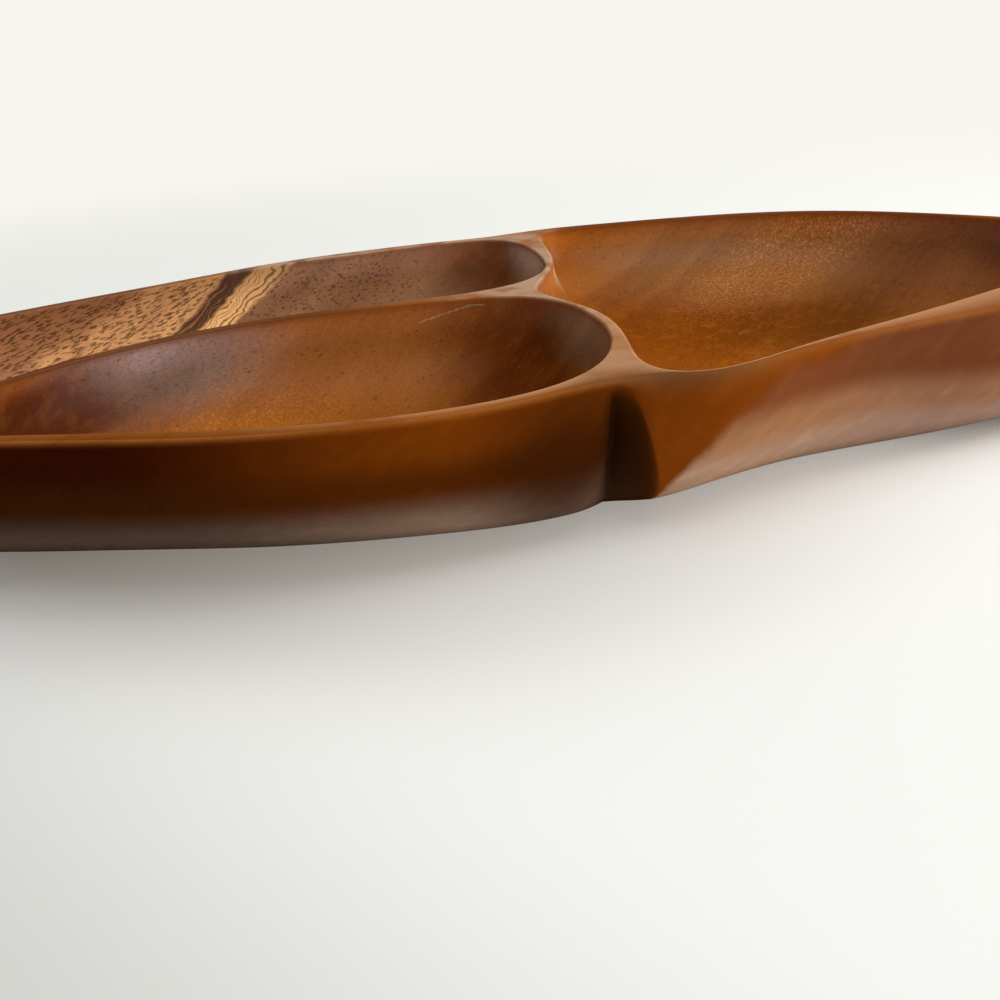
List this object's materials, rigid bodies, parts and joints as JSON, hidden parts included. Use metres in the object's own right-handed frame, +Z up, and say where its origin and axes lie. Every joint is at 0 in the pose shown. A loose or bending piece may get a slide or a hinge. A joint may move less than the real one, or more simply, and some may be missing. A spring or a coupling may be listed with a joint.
{
  "type": "divided serving bowl",
  "caption": "Leaf-shaped serving bowl carved from a solid wooden plank, with a flat rim and thin dividers between hollowed compartments",
  "frame": {"origin": "centre of the flat foot's plane, under the middle of the bowl's length and width", "axes": "+X along the bowl toward the wide single compartment, +Y across it away from the grooved wall, +Z up"},
  "size_m": [0.415, 0.181, 0.035],
  "materials": {
    "oiled_hardwood": "rubbed oil and wax over open-pored hardwood, satin with a soft gloss"
  },
  "bodies": {
    "root": {"carved_bowl": "oiled_hardwood"}
  },
  "joints": []
}
